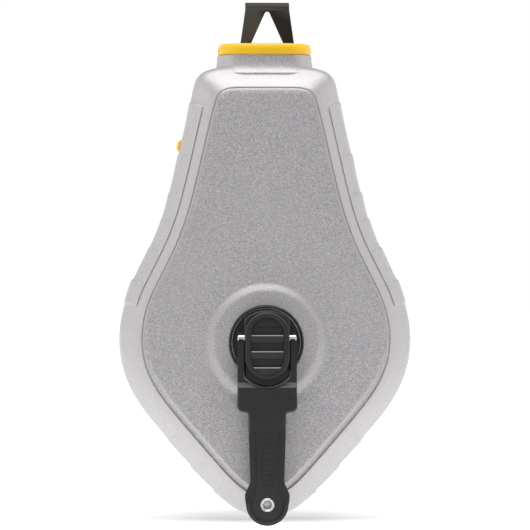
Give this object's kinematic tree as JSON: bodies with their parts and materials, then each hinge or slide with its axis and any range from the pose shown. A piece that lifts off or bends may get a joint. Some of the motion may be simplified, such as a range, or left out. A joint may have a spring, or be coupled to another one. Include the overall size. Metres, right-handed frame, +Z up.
{
  "type": "chalk line reel",
  "caption": "Hand-held chalk line reel: teardrop metal case, folding rewind crank, sliding chalk door and a flat steel end hook on a line that pulls out of the nozzle.",
  "frame": {"origin": "where the reel's axis meets the flat back face of the case", "axes": "+Z up along the case towards the hook, -Y out of the front face through the crank, +X to the right seen from the front"},
  "size_m": [0.1054, 0.0522, 0.1881],
  "materials": {
    "cast_metal": "fine textured silver coating on a die casting",
    "seal_rubber": "matt moulded cord",
    "plated_steel": "zinc plated",
    "yellow_plastic": "moulded, satin to gloss",
    "felt": "dense wool felt",
    "blackened_steel": "black satin coating on sheet steel",
    "braided_line": "braided cord, light chalk dust",
    "black_plastic": "fine moulded texture",
    "gear_plastic": "natural acetal",
    "gear_brass": "turned"
  },
  "bodies": {
    "case": {"front_case": "cast_metal", "rear_case": "cast_metal", "case_gasket": "seal_rubber", "case_screws": "plated_steel", "line_nozzle": "yellow_plastic", "nozzle_wiper": "felt", "line_guide": "black_plastic", "line_run": "braided_line", "door_guide": "black_plastic", "hub_bushing": "black_plastic", "ring_gear": "gear_plastic", "spool_axle": "plated_steel", "thrust_washer": "gear_brass"},
    "hub": {"crank_hub": "black_plastic", "hub_clip": "plated_steel", "crank_pivot_pin": "plated_steel"},
    "dog": {"clutch_dog": "plated_steel"},
    "thumb_slide": {"clutch_slide": "black_plastic"},
    "crank": {"crank_arm": "black_plastic", "knob_rivet": "plated_steel"},
    "knob": {"crank_knob": "black_plastic"},
    "carrier": {"planet_carrier": "black_plastic", "planet_pins": "plated_steel"},
    "planet_a": {"planet_gear_a": "gear_plastic"},
    "planet_b": {"planet_gear_b": "gear_plastic"},
    "planet_c": {"planet_gear_c": "gear_plastic"},
    "spool": {"chalk_spool": "black_plastic", "sun_gear": "gear_brass", "line_winding": "braided_line"},
    "hook": {"line_hook": "blackened_steel", "hook_clip": "plated_steel", "line_leader": "braided_line"},
    "door": {"fill_door": "yellow_plastic"}
  },
  "joints": [
    {"name": "crank_spin", "type": "hinge", "parent": "case", "child": "hub", "pos_m": [0, -0.04, 0], "axis": [0, -1, 0], "continuous": true},
    {"name": "crank_fold", "type": "hinge", "parent": "hub", "child": "crank", "pos_m": [0, -0.0475, 0.0018], "axis": [-1, 0, 0], "range_deg": [0, 180]},
    {"name": "knob_spin", "type": "hinge", "parent": "crank", "child": "knob", "pos_m": [0, -0.045, -0.0572], "axis": [0, -1, 0], "continuous": true},
    {"name": "clutch_slide_travel", "type": "slide", "parent": "hub", "child": "thumb_slide", "axis": [0, 0, -1], "range_m": [0, 0.002]},
    {"name": "clutch_dog_lift", "type": "slide", "parent": "hub", "child": "dog", "axis": [0, -1, 0], "range_m": [0, 0.0011]},
    {"name": "carrier_spin", "type": "hinge", "parent": "case", "child": "carrier", "pos_m": [0, -0.037, 0], "axis": [0, -1, 0], "continuous": true},
    {"name": "planet_a_spin", "type": "hinge", "parent": "carrier", "child": "planet_a", "pos_m": [0, -0.0335, 0.0135], "axis": [0, -1, 0], "continuous": true},
    {"name": "planet_b_spin", "type": "hinge", "parent": "carrier", "child": "planet_b", "pos_m": [-0.01169, -0.0335, -0.00675], "axis": [0, -1, 0], "continuous": true},
    {"name": "planet_c_spin", "type": "hinge", "parent": "carrier", "child": "planet_c", "pos_m": [0.01169, -0.0335, -0.00675], "axis": [0, -1, 0], "continuous": true},
    {"name": "spool_spin", "type": "hinge", "parent": "case", "child": "spool", "pos_m": [0, -0.016, 0], "axis": [0, -1, 0], "continuous": true},
    {"name": "hook_pull", "type": "slide", "parent": "case", "child": "hook", "axis": [0, 0, 1], "range_m": [0, 0.024]},
    {"name": "door_slide", "type": "slide", "parent": "case", "child": "door", "axis": [-0.2334, 0, -0.9724], "range_m": [0, 0.017]}
  ],
  "couplings": [
    {"joint": "carrier_spin", "follows": "crank_spin", "ratio": 1},
    {"joint": "planet_a_spin", "follows": "crank_spin", "ratio": -3},
    {"joint": "planet_b_spin", "follows": "crank_spin", "ratio": -3},
    {"joint": "planet_c_spin", "follows": "crank_spin", "ratio": -3},
    {"joint": "spool_spin", "follows": "crank_spin", "ratio": 4},
    {"joint": "clutch_dog_lift", "follows": "clutch_slide_travel", "ratio": 0.55}
  ]
}
